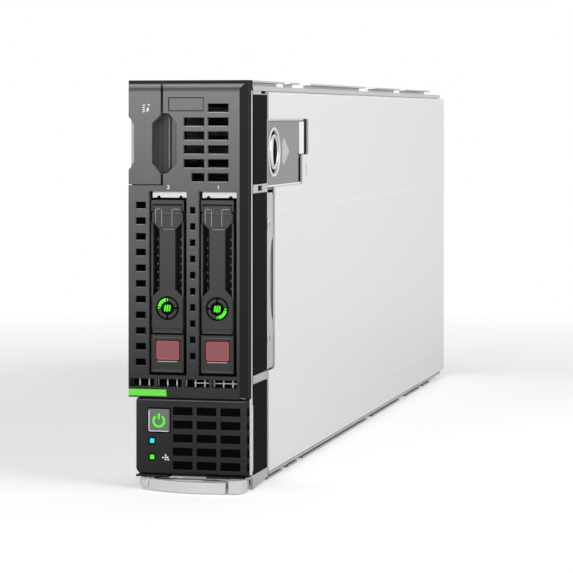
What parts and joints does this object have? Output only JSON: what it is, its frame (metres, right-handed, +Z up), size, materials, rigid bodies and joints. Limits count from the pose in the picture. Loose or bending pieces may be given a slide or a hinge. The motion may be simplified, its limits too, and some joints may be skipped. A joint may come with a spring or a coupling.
{
  "type": "blade server",
  "caption": "Slim upright blade server: dark vented bezel with hot-plug drives, pull-out tab and power button, release lever below, long pale side panel over a full system board.",
  "frame": {"origin": "middle of the underside, where the lower runners slide, under the centre of the overall box", "axes": "-Y to the front (bezel, drives and lever), +X to the side with the access panel, +Z up"},
  "size_m": [0.0554, 0.5174, 0.1806],
  "materials": {
    "steel": "satin zinc-plated sheet",
    "bezel": "fine matte, dark grey",
    "black_trim": "matte black label film",
    "panel": "light grey coil-coated sheet",
    "deck": "mid grey plate",
    "silver": "satin",
    "lever_grey": "satin grey",
    "accent": "bright green",
    "lamp_green": "clear lens, lit green",
    "lamp_cyan": "clear lens, lit cyan",
    "maroon": "satin maroon",
    "board": "solder mask over glass laminate",
    "connector": "moulded black",
    "latch_plastic": "moulded off-white",
    "card_plastic": "moulded light grey"
  },
  "bodies": {
    "case": {"chassis": "steel", "rear_grille": "steel", "guide_rails": "steel", "front_plate": "steel", "front_bezel": "bezel", "power_panel": "bezel", "accent_strip": "accent", "front_mesh": "steel", "side_frame": "steel", "side_strips": "black_trim", "latch_deck": "deck", "side_screws": "silver", "drive_cage": "steel", "bay_guides": "black_trim", "drive_backplane": "board", "board_connectors": "connector", "lever_housing": "silver", "lever_pin": "silver", "front_io_board": "board", "uid_light": "lamp_cyan", "link_light": "lamp_green", "service_port": "connector", "system_board": "board", "cpu_sockets": "silver", "heatsink_front": "silver", "heatsink_rear": "silver", "heatsink_screws": "silver", "dimm_sockets": "connector", "memory_modules": "board", "power_chokes": "connector", "capacitors": "silver", "chipset_heatsink": "silver", "coin_cell": "silver", "mezzanine_card_1": "board", "mezzanine_card_2": "board", "network_card": "board", "midplane_connector": "connector", "guide_sockets": "silver"},
    "access_panel": {"access_panel": "panel"},
    "panel_release": {"panel_release": "silver"},
    "release_lever": {"lever_plate": "lever_grey", "lever_grip": "silver"},
    "lever_button": {"lever_button": "silver"},
    "service_tab": {"service_tab": "bezel", "tab_card": "card_plastic"},
    "power_button": {"power_button": "silver"},
    "drive_1": {"drive_carrier_1": "bezel", "disk_drive_1": "silver"},
    "drive_latch_1": {"drive_latch_1": "bezel", "light_ring_1": "lamp_green"},
    "eject_button_1": {"eject_button_1": "maroon"},
    "drive_2": {"drive_carrier_2": "bezel", "disk_drive_2": "silver"},
    "drive_latch_2": {"drive_latch_2": "bezel", "light_ring_2": "lamp_green"},
    "eject_button_2": {"eject_button_2": "maroon"},
    "dimm_latches_1": {"dimm_latches_1": "latch_plastic"},
    "dimm_latches_2": {"dimm_latches_2": "latch_plastic"},
    "dimm_latches_3": {"dimm_latches_3": "latch_plastic"},
    "dimm_latches_4": {"dimm_latches_4": "latch_plastic"}
  },
  "joints": [
    {"name": "panel_slide", "type": "slide", "parent": "case", "child": "access_panel", "axis": [0, 1, 0], "range_m": [0, 0.47]},
    {"name": "panel_release_press", "type": "slide", "parent": "case", "child": "panel_release", "axis": [-1, 0, 0], "range_m": [0, 0.0015], "stiffness_N_per_m": 600, "springref_m": -0.002},
    {"name": "lever_swing", "type": "hinge", "parent": "case", "child": "release_lever", "pos_m": [-0.018, -0.2443, 0.003], "axis": [0, 0, -1], "range_deg": [0, 75]},
    {"name": "lever_button_press", "type": "slide", "parent": "case", "child": "lever_button", "axis": [0, 1, 0], "range_m": [0, 0.003], "stiffness_N_per_m": 500, "springref_m": -0.003},
    {"name": "service_tab_slide", "type": "slide", "parent": "case", "child": "service_tab", "axis": [0, -1, 0], "range_m": [0, 0.06]},
    {"name": "power_button_press", "type": "slide", "parent": "case", "child": "power_button", "axis": [0, 1, 0], "range_m": [0, 0.0012], "stiffness_N_per_m": 800, "springref_m": -0.001},
    {"name": "drive_1_slide", "type": "slide", "parent": "case", "child": "drive_1", "axis": [0, -1, 0], "range_m": [0, 0.116]},
    {"name": "drive_latch_1_swing", "type": "hinge", "parent": "drive_1", "child": "drive_latch_1", "pos_m": [0.01295, -0.2455, 0.1241], "axis": [-1, 0, 0], "range_deg": [0, 45]},
    {"name": "eject_button_1_press", "type": "slide", "parent": "drive_1", "child": "eject_button_1", "axis": [0, 1, 0], "range_m": [0, 0.002], "stiffness_N_per_m": 500, "springref_m": -0.002},
    {"name": "drive_2_slide", "type": "slide", "parent": "case", "child": "drive_2", "axis": [0, -1, 0], "range_m": [0, 0.116]},
    {"name": "drive_latch_2_swing", "type": "hinge", "parent": "drive_2", "child": "drive_latch_2", "pos_m": [-0.00985, -0.2455, 0.1241], "axis": [-1, 0, 0], "range_deg": [0, 45]},
    {"name": "eject_button_2_press", "type": "slide", "parent": "drive_2", "child": "eject_button_2", "axis": [0, 1, 0], "range_m": [0, 0.002], "stiffness_N_per_m": 500, "springref_m": -0.002},
    {"name": "dimm_latches_1_swing", "type": "hinge", "parent": "case", "child": "dimm_latches_1", "pos_m": [-0.0206, -0.1536, 0.0902], "axis": [0, 0, -1], "range_deg": [0, 35]},
    {"name": "dimm_latches_2_swing", "type": "hinge", "parent": "case", "child": "dimm_latches_2", "pos_m": [-0.0206, -0.01585, 0.0902], "axis": [0, 0, 1], "range_deg": [0, 35]},
    {"name": "dimm_latches_3_swing", "type": "hinge", "parent": "case", "child": "dimm_latches_3", "pos_m": [-0.0206, 0.0104, 0.0902], "axis": [0, 0, -1], "range_deg": [0, 35]},
    {"name": "dimm_latches_4_swing", "type": "hinge", "parent": "case", "child": "dimm_latches_4", "pos_m": [-0.0206, 0.14815, 0.0902], "axis": [0, 0, 1], "range_deg": [0, 35]}
  ]
}
